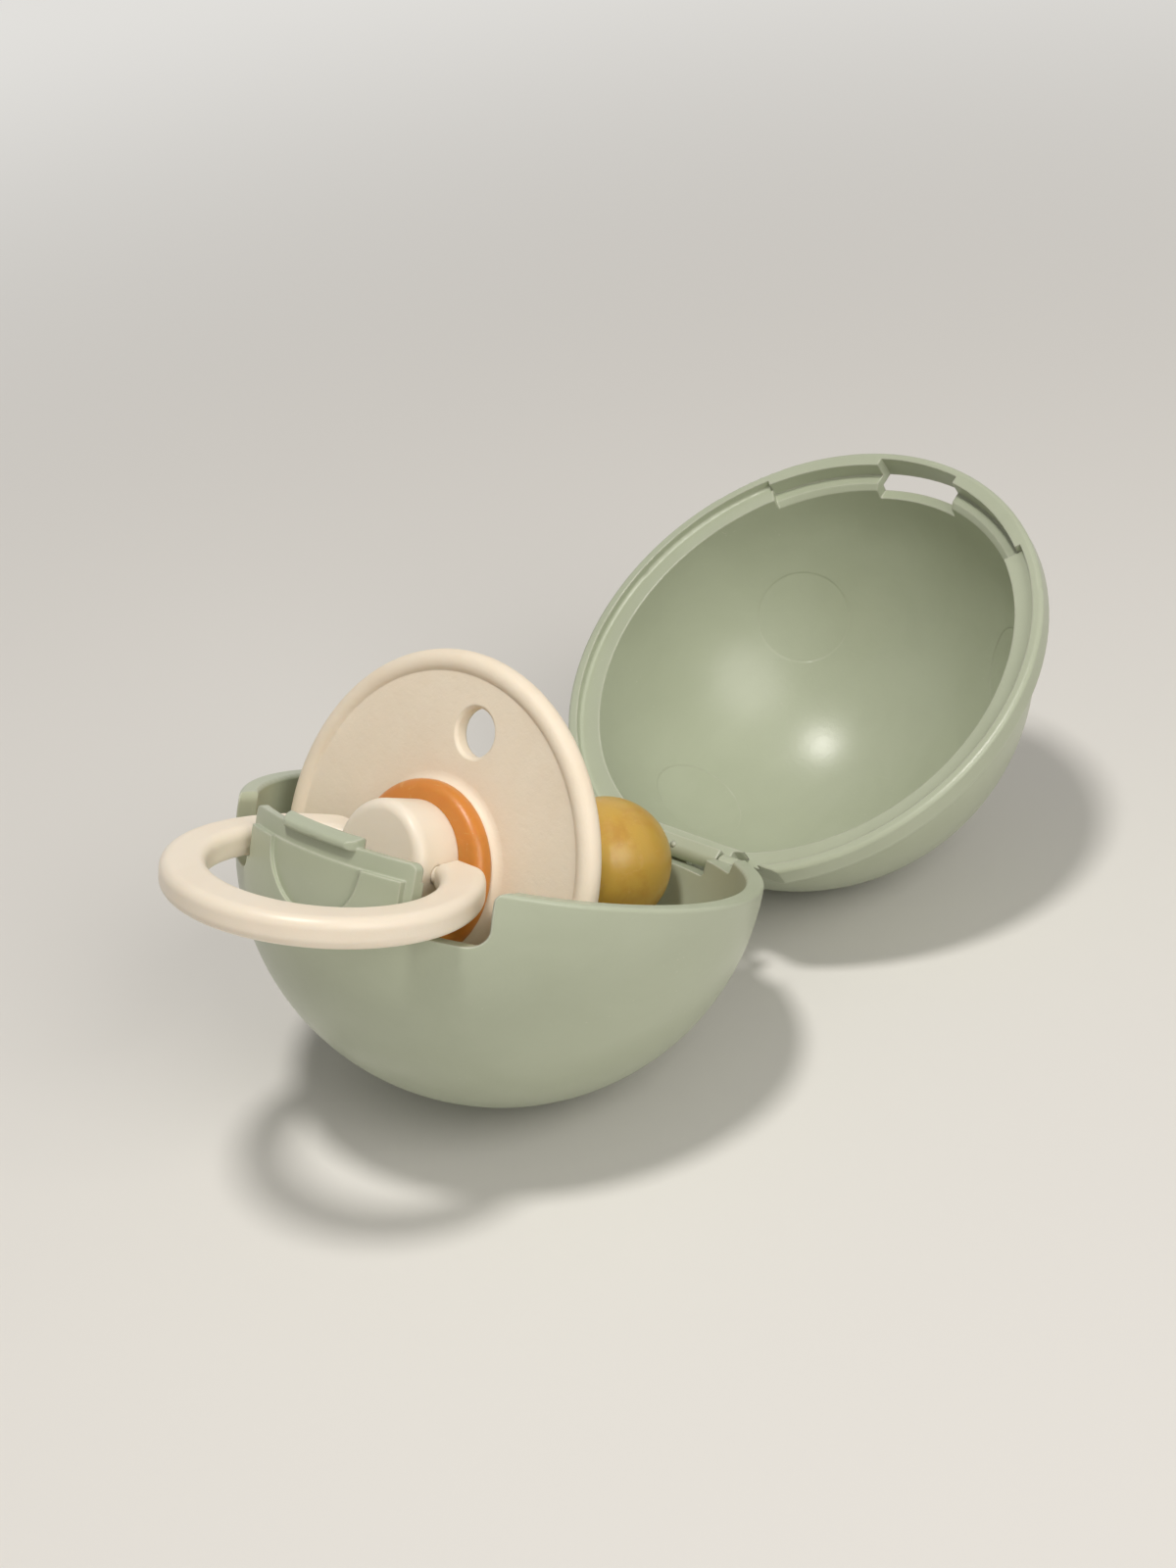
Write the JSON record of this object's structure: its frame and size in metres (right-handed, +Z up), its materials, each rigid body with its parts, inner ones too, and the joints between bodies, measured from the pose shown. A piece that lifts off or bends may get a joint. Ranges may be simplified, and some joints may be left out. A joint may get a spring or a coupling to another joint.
{
  "type": "pacifier case",
  "caption": "Round two-part travel case, open on its hinge, with a pin-hinged domed lid, a front latch tongue and a round-shield pacifier with a swinging ring seated in the bowl.",
  "frame": {"origin": "bottom centre of the bounding box, on the surface that the open case stands on", "axes": "+X along the hinge, -Y to the latch and the pacifier's ring, +Y to the open lid, +Z up"},
  "size_m": [0.0612, 0.1202, 0.0517],
  "materials": {
    "case_green": "satin moulded plastic",
    "lid_green": "satin moulded plastic",
    "pin_green": "satin moulded plastic",
    "shield_cream": "fine matt moulded plastic",
    "latex": "smooth natural rubber latex",
    "knob_cream": "satin moulded plastic",
    "ring_cream": "satin moulded plastic"
  },
  "bodies": {
    "base": {"base_bowl": "case_green", "hinge_pin": "pin_green"},
    "lid": {"lid_shell": "lid_green"},
    "pacifier": {"shield": "shield_cream", "latex_teat": "latex", "knob_plug": "knob_cream"},
    "ring": {"ring_handle": "ring_cream"}
  },
  "joints": [
    {"name": "lid_hinge", "type": "hinge", "parent": "base", "child": "lid", "pos_m": [0, 0.0063, 0.0153], "axis": [1, 0, 0], "range_deg": [0, 125.2]},
    {"name": "pacifier_lift", "type": "slide", "parent": "base", "child": "pacifier", "axis": [0, 0.4317, 0.902], "range_m": [0, 0.06]},
    {"name": "ring_swing", "type": "hinge", "parent": "pacifier", "child": "ring", "pos_m": [0, -0.03423, 0.03484], "axis": [1, 0, 0], "range_deg": [-5, 0]}
  ]
}
